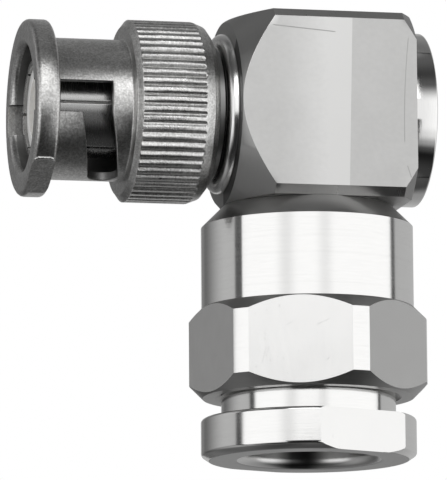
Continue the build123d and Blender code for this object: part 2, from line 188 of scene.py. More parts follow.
front_wall = panel_levels([
    (-90, 0.20), (-76, 0.04), (-54, 0.01), (-46, 0.06), (-38, 0.34), (-28, 0.78), (-16, 1.0),
    (14, 1.0), (38, 0.08), (52, 0.04), (74, 0.09), (88, 0.30),
])
left_wall = panel_levels([
    (-90, 0.14), (-70, 0.14), (-48, 0.34), (-32, 0.34), (-14, 0.26), (0, 0.44), (20, 0.52),
    (46, 0.46), (66, 0.22), (90, 0.3),
])
right_wall = panel_levels([
    (-90, 0.10), (-68, 0.06), (-50, 0.30), (-5, 0.48), (20, 0.46), (45, 0.24), (75, 0.16),
    (90, 0.3),
])
in_front = tent_azimuth.within(-90, -86, 88, 93)
at_left = 1 - tent_azimuth.between(-30, 30)
left_shade = 0.45 - 0.15 * tent_azimuth.between(-170, -160)
left_shade = left_shade + 0.75 * tent_azimuth.between(-160, -112)
left_fold = 0.66 * tent_azimuth.between(-128, -114) * tent_elevation.between(24, 40)
seams = 1
for seam_azimuth, seam_half_width, seam_depth in ((-36, 14, 0.20), (6, 12, 0.17)):
    seam = ((tent_azimuth - seam_azimuth) / seam_half_width).near_zero(0, 1)
    seams = seams - seam_depth * seam
gap_depth = 0.9
gaps = tent_azimuth.within(-99, -96, -91, -88) + tent_azimuth.within(88, 91, 95, 98)
front_gain = 1.12
behind = at_left * left_wall * left_shade * (1 - left_fold) + (1 - at_left) * right_wall
tent_level = in_front * front_wall * seams * front_gain + (1 - in_front) * behind
tent_level = tent_level * (1 - gap_depth * gaps)
rays = add_node(sky, "ShaderNodeLightPath")
ray = {o.name: Varying(sky, o) for o in rays.output.node.outputs}
plain_level = 0.85
seen_white = ray["Is Camera Ray"].math("MAXIMUM", ray["Is Transmission Ray"])
glossy = ray["Is Glossy Ray"]
world_level = glossy * tent_level + (1 - glossy) * plain_level
world_level = seen_white + (1 - seen_white) * world_level
backdrop = add_node(sky, "ShaderNodeBackground", values={
    "Color": (1, 1, 1, 1), "Strength": world_level})
add_node(sky, "ShaderNodeOutputWorld", values={"Surface": backdrop})


# The floor is a wide sheet of pale paper a hair below the plug's foot. The product camera looks
# from under its level, so it shows only from above; the metal reflects the tent in its place.
floor_half = 1.5
floor_drop = 0.05 * mm
paper_white = (0.9, 0.9, 0.9, 1)


def studio_sheet(name, corners):
    """A flat sheet through four corners, and the empty node tree of its material."""
    data = bpy.data.meshes.new(name)
    data.from_pydata(corners, [], [(0, 1, 2, 3)])
    material = bpy.data.materials.new(name)
    material.use_nodes = True
    material.node_tree.nodes.clear()
    data.materials.append(material)
    sheet = add_object(name, data)
    return sheet, material.node_tree


floor_corners = [(x * floor_half, y * floor_half, -floor_drop)
                 for x, y in ((-1, -1), (1, -1), (1, 1), (-1, 1))]
_, paper = studio_sheet("studio_floor", floor_corners)
matt = add_node(paper, "ShaderNodeBsdfDiffuse", values={"Color": paper_white})
clear = add_node(paper, "ShaderNodeBsdfTransparent")
under_side = add_node(paper, "ShaderNodeNewGeometry", out="Backfacing")
mirrored = add_node(paper, "ShaderNodeLightPath", out="Is Glossy Ray")
unseen = under_side.math("MAXIMUM", mirrored)
one_sided = add_node(paper, "ShaderNodeMixShader", values={0: unseen, 1: matt, 2: clear})
add_node(paper, "ShaderNodeOutputMaterial", values={"Surface": one_sided})


# Two cards stand in front of the coupling ring, at the left: a white one above it and a black one
# below it. They are seen only in the metal, and they shade the ring from its top to its bottom.
card_distance = 120 * mm
card_left = -90
card_right = 19.6


def studio_card(name, level, low, high):
    """An upright card in front of the plug, seen in reflections only. Heights are in mm."""
    card, tree = studio_sheet(name, [(x * mm, -card_distance, z * mm) for x, z in (
        (card_left, low), (card_right, low), (card_right, high), (card_left, high))])
    glow = add_node(tree, "ShaderNodeEmission", values={"Strength": level})
    add_node(tree, "ShaderNodeOutputMaterial", values={"Surface": glow})
    for kind in ("camera", "diffuse", "transmission", "volume_scatter", "shadow"):
        setattr(card, f"visible_{kind}", False)


studio_card("white_card", 1.9, 66, 150)
studio_card("black_card", 0.02, -220, 10)


# The angle head is a block of square brass bar, bored through for the hub and the cap and from
# below for the housing. Its ends are turned to a cone, and all of it is nickel plated.
head_low, head_high = (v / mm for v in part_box("angle_head"))
axis_height = (head_low.z + head_high.z) / 2
head_half = head_high.y
head_corner = 0.67
head_front_radius = 7.3
head_back_radius = 8.95
hub_bore = 4.77
cap_bore = 4.72
head_cavity = 4.2
hub_seat_x = -3.26
cap_seat_x = 3.37
well_radius = 5.42
well_top_z = 22.45
well_throat = 2.6
unmilled = 1e3
touching = 1e-6


def arc_corner(before, corner, after, radius, steps=4):
    """Points of the arc that rounds a corner of a profile, all as (axial, radius) pairs."""
    a, b, c = Vector(before), Vector(corner), Vector(after)
    into, out = (a - b).normalized(), (c - b).normalized()
    half = acos(max(-1, min(1, into.dot(out)))) / 2
    reach = radius / max(sin(half) / cos(half), 1e-6)
    centre = b + (into + out).normalized() * radius / sin(half)
    start, end = b + into * reach - centre, b + out * reach - centre
    sweep = start.angle(end)
    points = []
    for i in range(steps + 1):
        t = i / steps
        mixed = (start * sin((1 - t) * sweep) + end * sin(t * sweep)) / sin(sweep)
        points.append(tuple(centre + mixed))
    return points


def rounded(profile):
    """A closed profile with each corner given as (axial, radius, rounding) turned to an arc."""
    points = []
    for i, point in enumerate(profile):
        if len(point) == 2:
            points.append(point)
            continue
        before, after = profile[i - 1][:2], profile[(i + 1) % len(profile)][:2]
        points += arc_corner(before, point[:2], after, point[2])
    return points


def milled_limit(angle, flats):
    """How far out the bar reaches at this angle, where flats are (angle, distance) pairs."""
    facing = [(cos(angle - flat_angle), distance) for flat_angle, distance in flats]
    return min((distance / share for share, distance in facing if share > 0.05), default=unmilled)


def put(axis, axial, radius, angle):
    """A point in the frame. Angles run from the front, about the cable or the interface axis."""
    if axis == "cable":
        return (radius * sin(angle) * mm, -radius * cos(angle) * mm, axial * mm)
    return (axial * mm, -radius * cos(angle) * mm, (axis_height - radius * sin(angle)) * mm)


def add_mesh(name, mesh):
    """Turns the faces of a bmesh outwards and makes it an object."""
    bmesh.ops.recalc_face_normals(mesh, faces=mesh.faces)
    data = bpy.data.meshes.new(name)
    mesh.to_mesh(data)
    mesh.free()
    return add_object(name, data)


def turned(name, axis, profile, flats=(), flats_end=unmilled, corners=(), turns=144, shaped=None):
    """A closed mesh turned from a closed profile, with flats milled on it up to flats_end.

    Faces on the flats take the second material. shaped(angle, axial, radius) may change radii.
    The corners are angles that get a column of points whatever the even steps are.
    """
    points = rounded(profile)
    step = 2 * pi / turns
    corners = {round(c % (2 * pi), 9) for c in corners}
    even = {round(step * i, 9) for i in range(turns)}
    angles = sorted(corners | {a for a in even if all(abs(a - c) > step / 2 for c in corners)})
    mesh = bmesh.new()
    columns = []
    for angle in angles:
        limit = milled_limit(angle, flats)
        column = []
        for i, (axial, radius) in enumerate(points):
            ahead_axial, ahead_radius = points[(i + 1) % len(points)]
            own = limit if axial <= flats_end + touching else unmilled
            ahead = limit if ahead_axial <= flats_end + touching else unmilled
            if shaped:
                radius = shaped(angle, axial, radius)
            on_flat = radius >= own - touching
            column.append((axial, min(radius, own), on_flat))
            if flats:
                part = 0
                over, ahead_over = radius - own, ahead_radius - ahead
                if own == ahead and abs(over) > touching:
                    if abs(ahead_over) < touching:
                        part = 1
                    elif over * ahead_over < 0:
                        part = over / (over - ahead_over)
                cross_axial = axial + (ahead_axial - axial) * part
                cross_radius = radius + (ahead_radius - radius) * part
                column.append((cross_axial, min(cross_radius, own), on_flat or part > 0))
        columns.append([(mesh.verts.new(put(axis, a, r, angle)), f) for a, r, f in column])
    rows = len(columns[0])
    for j, column in enumerate(columns):
        beside = columns[(j + 1) % len(columns)]
        for k in range(rows):
            ring = [column[k], column[(k + 1) % rows], beside[(k + 1) % rows], beside[k]]
            face = mesh.faces.new([v for v, _ in ring])
            face.material_index = 1 if all(f for _, f in ring) else 0
    bmesh.ops.remove_doubles(mesh, verts=mesh.verts, dist=2e-7)
    bmesh.ops.dissolve_degenerate(mesh, edges=mesh.edges, dist=1e-7)
    bmesh.ops.delete(mesh, geom=[v for v in mesh.verts if not v.link_faces], context="VERTS")
    return add_mesh(name, mesh)


def modifier(piece, kind, **settings):
    made = piece.modifiers.new(kind.lower(), kind)
    for name, value in settings.items():
        setattr(made, name, value)
    return made


def bake_modifiers(piece):
    """Turns the evaluated piece into a plain mesh and removes its modifiers."""
    scene = bpy.context.evaluated_depsgraph_get()
    solid = bpy.data.meshes.new_from_object(piece.evaluated_get(scene))
    solid.name = piece.name
    piece.modifiers.clear()
    piece.data = solid


def finish_edges(piece, width=0.05, sharp_above=24):
    """Breaks the sharp edges as a deburring brush does and shades the flats flat.

    Without a width the edges stay sharp and only their shading is parted.
    """
    for face in piece.data.polygons:
        face.use_smooth = True
    if width:
        modifier(piece, "BEVEL", width=width * mm, segments=2, limit_method="ANGLE",
                 angle_limit=radians(sharp_above), use_clamp_overlap=True)
    else:
        piece.data.set_sharp_from_angle(angle=radians(sharp_above))
    modifier(piece, "WEIGHTED_NORMAL", weight=60, keep_sharp=not width)
    bake_modifiers(piece)


def cut(piece, *tools):
    """Cuts the tools out of the piece and deletes them."""
    for tool in tools:
        modifier(piece, "BOOLEAN", operation="DIFFERENCE", solver="EXACT", object=tool)
    bake_modifiers(piece)
    for tool in tools:
        bpy.data.objects.remove(tool)


class Finish:
    """A material on the object's own coordinates in millimetres."""

    def __init__(self, name):
        self.material = bpy.data.materials.new(name)
        self.material.use_nodes = True
        self.tree = self.material.node_tree
        self.shader = self.tree.nodes["Principled BSDF"]
        place = self.node("ShaderNodeTexCoord", out="Object")
        self.place = self.node("ShaderNodeVectorMath", {"operation": "SCALE"}, {
            0: place, "Scale": 1 / mm})
        self.x, self.y, self.z = split_xyz(self.place)

    def node(self, kind, settings=None, values=None, out=0):
        return add_node(self.tree, kind, settings, values, out)

    def noise(self, place, scale, detail=2.0):
        return self.node("ShaderNodeTexNoise", values={
            "Vector": place, "Scale": scale, "Detail": detail})

    def lines(self, along, pitch, detail=2.0):
        """Fine parallel tool marks, one number along which they follow each other."""
        return self.node("ShaderNodeTexNoise", {"noise_dimensions": "1D"}, {
            "W": along, "Scale": 1 / pitch, "Detail": detail})

    def stretched(self, x, y, z):
        return self.node("ShaderNodeVectorMath", {"operation": "MULTIPLY"}, {
            0: self.place, 1: (x, y, z)})

    def axis_radius(self, axis):
        if axis == "cable":
            return (self.x * self.x + self.y * self.y).math("SQRT")
        up = self.z - axis_height
        return (self.y * self.y + up * up).math("SQRT")

    def colour(self, level, dark, light):
        return self.node("ShaderNodeMix", {"data_type": "RGBA"}, {
            "Factor": level, 6: (*dark, 1), 7: (*light, 1)}, out=2)

    def set(self, **sockets):
        for name, value in sockets.items():
            socket = self.shader.inputs[name.replace("_", " ")]
            if isinstance(value, Varying):
                self.tree.links.new(value.output, socket)
            else:
                socket.default_value = value
        return self.material

    def bump(self, height, depth_um, strength=1.0):
        return self.node("ShaderNodeBump", values={
            "Height": height, "Distance": depth_um * 1e-6, "Strength": strength})


nickel_light = (0.88, 0.877, 0.868)
nickel_dark = (0.80, 0.797, 0.788)


def dulled(colour, shine):
    return tuple(c * shine for c in colour)


def turned_nickel(name, axis, shine=1.0, roughness=0.15, depth=1.2, pitch=0.16):
    """Nickel over turned brass: fine rings left by the tool, with a few deeper ones."""
    f = Finish(name)
    axial = f.z if axis == "cable" else f.x
    along = axial + f.axis_radius(axis) * 0.7
    rings = f.lines(along, pitch, 3.0)
    deep = f.lines(along + 40, pitch * 3, 1.0).between(0.58, 0.72)
    long_way = (0.9, 0.9, 14) if axis == "cable" else (14, 0.9, 0.9)
    streaks = f.noise(f.stretched(*long_way), 1.0)
    cloud = f.noise(f.place, 0.6)
    return f.set(
        Base_Color=f.colour(rings * 0.4 + streaks * 0.8 + cloud * 0.3 - deep * 0.15,
                            dulled(nickel_dark, shine), dulled(nickel_light, shine)),
        Metallic=1.0,
        Roughness=roughness + rings * 0.05 + cloud * 0.05,
        Normal=f.bump(rings * 0.6 + streaks + deep * 0.3, depth),
    )


def mark(u, v, middle, lean, length, width=0.025):
    """A fine scratch on a flat with the coordinates u and v in mm, leaning by degrees from u."""
    c, s = cos(radians(lean)), sin(radians(lean))
    along = (u - middle[0]) * c + (v - middle[1]) * s
    across = (v - middle[1]) * c - (u - middle[0]) * s
    ends = along.near_zero(length / 2 - 0.05, length / 2 + 0.05)
    return ends * across.near_zero(width / 2, width * 1.5)


def drawn_nickel(name, grain, roughness, depth=0.8, nicked=None):
    """Nickel over drawn flats: faint straight grain, soft clouds and a few small nicks.

    nicked adds nicks to one flat, given by its turn, its distance and their own places.
    """
    f = Finish(name)
    lines = f.noise(f.stretched(*grain), 1.0, 3.0)
    cloud = f.noise(f.place, 0.5, 4.0)
    nicks = f.noise(f.stretched(3.2, 3.2, 1.6), 1.0, 1.0).between(0.745, 0.775)
    if nicked:
        turn, distance, places = nicked
        on_flat = (f.x * sin(turn) - f.y * cos(turn)).between(distance - 0.1, distance - 0.05)
        along = f.x * cos(turn) + f.y * sin(turn)
        for middle, lean, length in places:
            nick = mark(along, f.z, middle, lean, length) * on_flat * 0.7
            nicks = nicks.math("MAXIMUM", nick)
    return f.set(
        Base_Color=f.colour(lines * 0.4 + cloud * 0.6 - nicks * 3.5, nickel_dark, nickel_light),
        Metallic=1.0,
        Roughness=roughness + lines * 0.08 + cloud * 0.08,
        Normal=f.bump(lines - nicks * 3.0, depth),
    )


def lapped_nickel():
    """The head's flats, lapped dull, with two scratches and a painted reflection on the front
    flat.
    """
    f = Finish("lapped_nickel")
    front = (0 - f.y).between(head_half - 0.02, head_half - 0.01)
    # Painted reflection on the front flat: lighter towards the right up to a sloping edge, and
    # darker past that edge.
    seam = 1.20 + f.z * 0.026
    painted_reflection = f.x.between(-4.5, 1.2) * (1 - (f.x - seam).between(-0.03, 0.03)) * front
    grain = f.noise(f.stretched(2.2, 2.2, 3.0), 1.0, 3.0)
    cloud = f.noise(f.place, 0.4, 3.0)
    long_offset = f.z - (33.07 - f.x * 0.076)
    long_ends = f.x.within(-4.4, -4.2, 0.6, 0.8)
    long_scratch = long_offset.near_zero(0.01, 0.05) * long_ends
    bend = f.z - 25.3
    curved_offset = f.x - 6.2 - bend * bend * 0.0073
    curved_ends = f.z.within(24.2, 24.8, 32.4, 32.9)
    curved_scratch = curved_offset.near_zero(0.01, 0.05) * curved_ends
    short_scratch = mark(f.x, f.z, (6.56, 22.05), -72, 0.95)
    scratches = long_scratch.math("MAXIMUM", curved_scratch).math("MAXIMUM", short_scratch) * front
    level = 0.28 + painted_reflection * 0.55 + grain * 0.2 + cloud * 0.25 - scratches * 1.1
    return f.set(
        Base_Color=f.colour(level, (0.385, 0.384, 0.379), (0.69, 0.688, 0.68)),
        Metallic=1.0,
        Roughness=0.28 + cloud * 0.06 + grain * 0.04,
        Normal=f.bump(grain * 0.5 - scratches * 6.0, 1.0),
    )


def zone(piece, index, rule):
    """Gives a finish to the faces whose middle in mm and normal the rule accepts."""
    for face in piece.data.polygons:
        if rule(face.center / mm, face.normal):
            face.material_index = index


def dress(piece, body, slot, *finishes):
    """Lays the finishes on a piece, in the order of its zones, and hangs it on its body."""
    for index, finish in enumerate(finishes):
        if index < len(piece.data.materials):
            piece.data.materials[index] = finish
        else:
            piece.data.materials.append(finish)
    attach(piece, body)


square_flats = [(radians(90 * i), head_half) for i in range(4)]
corner_distance = (2 * head_half - head_corner) / sqrt(2)
square_flats += [(radians(45 + 90 * i), corner_distance) for i in range(4)]
chamfer_turn = atan((head_half - head_corner) / head_half)
back_turn = acos(head_half / head_back_radius)
square_corners = [radians(90 * i) + s * turn
                  for i in range(4) for s in (-1, 1) for turn in (chamfer_turn, back_turn)]
head_reach = head_half * sqrt(2)
angle_head = turned("head_block", "interface", [
    (head_low.x, hub_bore),
    (head_low.x, head_front_radius),
    (head_low.x + head_reach - head_front_radius, head_reach),
    (head_high.x - head_reach + head_back_radius, head_reach),
    (head_high.x, head_back_radius),
    (head_high.x, cap_bore),
    (cap_seat_x, cap_bore),
    (cap_seat_x, head_cavity),
    (hub_seat_x, head_cavity),
    (hub_seat_x, hub_bore),
], flats=square_flats, corners=square_corners)
well = turned("well_tool", "cable", [
    (head_low.z - 1, 0), (head_low.z - 1, well_radius), (well_top_z, well_radius),
    (well_top_z, well_throat), (axis_height, well_throat), (axis_height, 0),
], turns=96)
cut(angle_head, well)
finish_edges(angle_head, 0.06)
joint_top = axis_height + 4.35


def on_long_edge(middle, normal):
    """The milled edges between two of the head's flats."""
    return abs(abs(normal.y) - abs(normal.z)) < 0.05 and abs(normal.x) < 0.1


def in_joint(middle, normal):
    """The near side of the front end, in the gap behind the collar, which gets painted shade."""
    near_side = middle.y < 0 and middle.z < joint_top
    return normal.x < -0.9 and middle.x < head_low.x + 0.1 and near_side


def on_front_break(middle, normal):
    """The broken edges between the front flat and the cones, which get a painted highlight."""
    return -0.98 < normal.y < -0.74 and abs(normal.x) > 0.15


for index, rule in enumerate((on_long_edge, in_joint, on_front_break), 2):
    zone(angle_head, index, rule)
head_cones = turned_nickel("dull_head_cones", "interface", shine=0.42, roughness=0.36)
head_edges = turned_nickel("milled_head_edges", "interface", shine=0.66, roughness=0.24)
# A near-black copy of the turned nickel, which is painted shade in the gap behind the collar.
joint_dark = turned_nickel("joint_dark", "interface", shine=0.10, roughness=0.4)
# A bright, glossy copy of the turned nickel, which is a painted highlight on the front's broken
# edges.
edge_bright = turned_nickel("edge_bright", "interface", roughness=0.12)
dress(angle_head, "plug_body", "nickel_plate",
      head_cones, lapped_nickel(), head_edges, joint_dark, edge_bright)
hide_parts("angle_head")


# The hub carries the coupling ring. It is turned brass, screwed into the head from the front,
# and the contact sleeve is clamped behind its shoulder.
def coat(finish, *nodes):
    """Lays a finish on nodes that keep their CAD mesh."""
    for node in nodes:
        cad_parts[node].material_slots[0].material = finish


coat(turned_nickel("hub_nickel", "interface"), "front_body")


# The contact sleeve is turned bronze, slit into six spring fingers from its front, where its
# bulged tip springs against the mating shell. It is nickel plated and stands a little proud.
sleeve_low, sleeve_high = (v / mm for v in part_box("contact_sleeve"))
sleeve_front = sleeve_low.x - 0.25
sleeve_bore = 3.35
finger_radius = 3.78
tip_radius = 4.05
tip_length = 0.95
root_radius = 4.05
rim_radius = 4.4
rim_width = 0.5
slit_width = 0.22
slit_length = 7.6
slit_floor = 2.6
slit_clocking = radians(1.5)
slit_count = 6


def shape_tree(name, inputs):
    """Starts a tree that changes one piece. Returns it with its named inputs."""
    tree = bpy.data.node_groups.new(name, "GeometryNodeTree")
    for socket, kind in {"Piece": "Geometry", **inputs, "Finish": "Material"}.items():
        tree.interface.new_socket(socket, in_out="INPUT", socket_type=f"NodeSocket{kind}")
    tree.interface.new_socket("Piece", in_out="OUTPUT", socket_type="NodeSocketGeometry")
    given = tree.nodes.new("NodeGroupInput").outputs
    return tree, {socket.name: Varying(tree, socket) for socket in given}


def finish_tree(tree, shape, finish):
    """Ends a tree: real geometry, one finish, and the tree's output."""
    real = add_node(tree, "GeometryNodeRealizeInstances", values={0: shape})
    coated = add_node(tree, "GeometryNodeSetMaterial", values={
        "Geometry": real, "Material": finish})
    add_node(tree, "NodeGroupOutput", values={0: coated})
    return tree


def repeat_cut_tree():
    """Cuts copies of one tool, turned evenly about an axis along X, out of a piece."""
    tree, given = shape_tree("cut_round_the_axis", {
        "Tool": "Object", "Copies": "Int", "Clocking": "Float", "Axis height": "Float"})
    centre = add_node(tree, "ShaderNodeCombineXYZ", values={"Z": given["Axis height"]})
    spots = add_node(tree, "GeometryNodePoints", values={
        "Count": given["Copies"], "Position": centre})
    share = add_node(tree, "GeometryNodeInputIndex") / given["Copies"]
    turn = share * (2 * pi) + given["Clocking"]
    spin = add_node(tree, "ShaderNodeCombineXYZ", values={"X": turn})
    tool = add_node(tree, "GeometryNodeObjectInfo", values={"Object": given["Tool"]},
                    out="Geometry")
    copies = add_node(tree, "GeometryNodeInstanceOnPoints", values={
        "Points": spots, "Instance": tool, "Rotation": spin})
    settings = {"operation": "DIFFERENCE", "solver": "EXACT"}
    trim = add_node(tree, "GeometryNodeMeshBoolean", settings, {
        "Mesh 1": given["Piece"], "Mesh 2": copies}, out="Mesh")
    return finish_tree(tree, trim, given["Finish"])


cut_round_the_axis = repeat_cut_tree()


def run_tree(piece, tree, inputs):
    """Runs a geometry node tree on a piece once and keeps the result as its mesh."""
    made = piece.modifiers.new("tree", "NODES")
    made.node_group = tree
    for item in tree.interface.items_tree:
        if item.item_type == "SOCKET" and item.in_out == "INPUT" and item.name in inputs:
            made[item.identifier] = inputs[item.name]
    bake_modifiers(piece)


def cut_round(piece, tool, copies, clocking, finish):
    """Cuts evenly turned copies of the tool out of a piece and deletes the tool."""
    run_tree(piece, cut_round_the_axis, {
        "Tool": tool, "Copies": copies, "Clocking": clocking, "Finish": finish,
        "Axis height": axis_height * mm,
    })
    bpy.data.objects.remove(tool)


def box_tool(name, low, high):
    """A plain block that cuts a slit or a flat, from its lowest to its highest corner in mm."""
    mesh = bmesh.new()
    bmesh.ops.create_cube(mesh, size=1)
    for v in mesh.verts:
        for i in range(3):
            v.co[i] = (low[i] if v.co[i] < 0 else high[i]) * mm
    return add_mesh(name, mesh)


contact_sleeve = turned("slit_sleeve", "interface", [
    (sleeve_front, sleeve_bore),
    (sleeve_front, finger_radius, 0.06),
    (sleeve_low.x + tip_length * 0.45, tip_radius, 0.3),
    (sleeve_low.x + tip_length, finger_radius, 0.2),
    (sleeve_low.x + slit_length, finger_radius),
    (sleeve_low.x + slit_length + 0.2, root_radius),
    (sleeve_high.x - rim_width, root_radius),
    (sleeve_high.x - rim_width, rim_radius),
    (sleeve_high.x, rim_radius),
    (sleeve_high.x, sleeve_bore),
])
slit_tool = box_tool("slit_tool", (sleeve_low.x - 1, -rim_radius - 1, -slit_width / 2),
                     (sleeve_low.x + slit_length, -slit_floor, slit_width / 2))
sleeve_nickel = turned_nickel("sleeve_nickel", "interface", shine=0.46, roughness=0.22,
                              depth=0.08, pitch=0.1)
cut_round(contact_sleeve, slit_tool, slit_count, slit_clocking, sleeve_nickel)
finish_edges(contact_sleeve, 0.03)
dress(contact_sleeve, "plug_body", "nickel_plate")
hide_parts("contact_sleeve")


# White fluoropolymer insulators are turned from rod. The front one lies just inside the sleeve's
# mouth round the pin, and the others hold the pin's stem and the cable contact.
def white_polymer():
    f = Finish("turned_white_polymer")
    rings = f.noise(f.place, 5.0)
    cloud = f.noise(f.place, 0.5)
    # Painted shade and light: away from the axis the polymer is painted grey, as the shade inside
    # the ring's mouth. Within 2.5 mm of the axis, in the bore, it is painted light for light
    # shining through the polymer.
    bore = 1 - f.axis_radius("interface").between(2.5, 2.6)
    return f.set(
        Base_Color=f.colour(cloud * 0.3 + bore * 0.7, (0.58, 0.58, 0.57), (0.92, 0.92, 0.91)),
        Roughness=0.42 + rings * 0.15,
        Normal=f.bump(rings, 2.0),
    )


coat(white_polymer(), "front_insulator", "rear_insulator", "cap_insulator", "cable_insulator")


# The pin and the cable contact are turned brass with a thin gold plate. The cable contact is
# forked over the pin's stem, where the two are soldered through the hole under the cap.
def gold_plate():
    f = Finish("gold_plate")
    rings = f.lines(f.x + f.z, 0.12)
    return f.set(
        Base_Color=f.colour(rings, (0.80, 0.60, 0.27), (0.90, 0.71, 0.36)),
        Metallic=1.0,
        Roughness=0.2 + rings * 0.1,
        Normal=f.bump(rings, 0.5),
    )


coat(gold_plate(), "centre_pin", "cable_contact")


# The seals are black silicone rubber: two O rings, the gasket on the hub's front and the gland's
# clamping gasket. The clamping gasket shortens as the nut drives the washer up.
def black_rubber():
    f = Finish("black_rubber")
    grain = f.noise(f.place, 14.0)
    bloom = f.noise(f.place, 0.8)
    return f.set(
        Base_Color=f.colour(bloom, (0.018, 0.018, 0.018), (0.045, 0.045, 0.044)),
        Roughness=0.55 + grain * 0.2,
        Normal=f.bump(grain, 3.0),
    )


rubber = black_rubber()
coat(rubber, "interface_gasket", "cap_o_ring", "housing_o_ring")
gasket_low, gasket_high = (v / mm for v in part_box("clamp_gasket"))
gasket_bore = 5.25
gasket_rounding = 0.2
clamp_gasket = turned("gland_gasket", "cable", [
    (gasket_low.z, gasket_bore, gasket_rounding),
    (gasket_low.z, gasket_high.x, gasket_rounding),
    (gasket_high.z, gasket_high.x, gasket_rounding),
    (gasket_high.z, gasket_bore, gasket_rounding),
], turns=96)
finish_edges(clamp_gasket, 0)
clamp_gasket.data.materials.append(rubber)
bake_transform(clamp_gasket)
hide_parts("clamp_gasket")


# The springs and washers are stamped from hard steel strip: the split retaining ring, the flat
# thrust washer that the coupling ring turns against, and the gland's slip washer.
def spring_steel():
    f = Finish("spring_steel")
    brush = f.noise(f.stretched(3.0, 3.0, 3.0), 2.0)
    return f.set(
        Base_Color=f.colour(brush, (0.50, 0.50, 0.51), (0.66, 0.66, 0.67)),
        Metallic=1.0,
        Roughness=0.26 + brush * 0.12,
        Normal=f.bump(brush, 0.8),
    )


steel = spring_steel()
coat(steel, "retaining_ring", "thrust_washer", "slip_washer")


# The wave washer is one turn of spring strip bent into three waves. It draws the coupling ring
# back and flattens as the ring is drawn forward.
wave_low, wave_high = (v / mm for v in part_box("wave_washer"))
wave_outer = 5.62
wave_inner = 4.85
wave_thickness = 0.22
wave_count = 3
wave_middle = (wave_low.x + wave_high.x) / 2
wave_swing = (wave_high.x - wave_low.x - wave_thickness) / 2
wave_turns = 144
wave_mesh = bmesh.new()
wave_columns = []
for i in range(wave_turns):
    angle = 2 * pi * i / wave_turns
    rise = wave_middle + wave_swing * cos(wave_count * angle)
    section = [(rise - wave_thickness / 2, wave_inner), (rise - wave_thickness / 2, wave_outer),
               (rise + wave_thickness / 2, wave_outer), (rise + wave_thickness / 2, wave_inner)]
    wave_columns.append([wave_mesh.verts.new(put("interface", a, r, angle)) for a, r in section])
for i, column in enumerate(wave_columns):
    beside = wave_columns[(i + 1) % wave_turns]
    for k in range(4):
        wave_mesh.faces.new([column[k], column[(k + 1) % 4], beside[(k + 1) % 4], beside[k]])
wave_washer = add_mesh("wave_spring", wave_mesh)
finish_edges(wave_washer, 0.03)
wave_washer.data.materials.append(steel)
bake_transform(wave_washer)
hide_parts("wave_washer")


# The coupling ring is turned brass with a satin nickel plate. Its grip band carries straight
# ridges, and two bayonet slots are milled through its neck, each with a ramp and a latch hole.
ring_low, ring_high = (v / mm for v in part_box("coupling_ring"))
ring_front = ring_low.x
ring_back = ring_high.x
ring_bore = 4.95
chamber_radius = 5.72
chamber_front = -12.35
groove_front = -9.52
groove_back = -9.03
groove_radius = 6.14
flange_radius = 7.0
flange_back = ring_front + 1.65
flange_foot = flange_back + 0.20
flange_front_rounding = 0.42
flange_back_rounding = 0.34
flange_foot_rounding = 0.12
flat_distance = 6.62
flat_clocking = 62.5
neck_radius = 5.6
neck_rounding = 0.16
shoulder_x = flange_back + 6.28
shoulder_radius = 6.7
shoulder_rounding = 0.10
band_chamfer = 0.08
band_radius = 7.21
band_front = shoulder_x + 0.40
band_back = ring_back - 1.37
back_slope = 0.39
band_end_radius = 6.87
back_edge = ring_back - 0.5
back_radius = 6.2
back_edge_rounding = 0.25
tail_rounding = 0.15
chamber_rounding = 0.08
ridge_count = 58
columns_per_ridge = 12
ridge_depth = 0.20
ridge_crest = 0.31
ridge_blend = 0.09
ridge_clocking = 1.76
ridge_run_in = 0.08
ridge_run_out = 0.14
ridge_end = band_back + 0.22
bore_lead_in = 0.52


def rows_between(first, last, count):
    """Evenly spaced profile points from one corner up to the next, without the last."""
    return [(first[0] + (last[0] - first[0]) * i / count,
             first[1] + (last[1] - first[1]) * i / count) for i in range(count)]


band_start = (band_front, band_radius)
run_in_end = (band_front + ridge_run_in, band_radius)
band_stop = (band_back, band_radius)
ridges_stop = (ridge_end, band_radius - (ridge_end - band_back) * back_slope)
coupling_ring = turned("bayonet_ring", "interface", [
    (ring_front + bore_lead_in, ring_bore),
    *arc_corner((ring_front + 1, ring_bore), (ring_front, ring_bore), (ring_front, band_radius),
                bore_lead_in)[1:],
    (ring_front, flange_radius, flange_front_rounding),
    (flange_foot, flange_radius, flange_back_rounding),
    (flange_foot, neck_radius, flange_foot_rounding),
    (shoulder_x, neck_radius, neck_rounding),
    (shoulder_x, shoulder_radius, shoulder_rounding),
    *rows_between((shoulder_x + band_chamfer, shoulder_radius + band_chamfer), band_start, 6),
    *rows_between(band_start, run_in_end, 4),
    *rows_between(run_in_end, band_stop, 3),
    *rows_between(band_stop, ridges_stop, 6),
    ridges_stop,
    (back_edge, band_end_radius, back_edge_rounding),
    (ring_back, back_radius, tail_rounding),
    (ring_back, chamber_radius, chamber_rounding),
    (groove_back, chamber_radius),
    (groove_back, groove_radius),
    (groove_front, groove_radius),
    (groove_front, chamber_radius),
    (chamber_front, chamber_radius),
    (chamber_front, ring_bore),
], turns=ridge_count * columns_per_ridge)


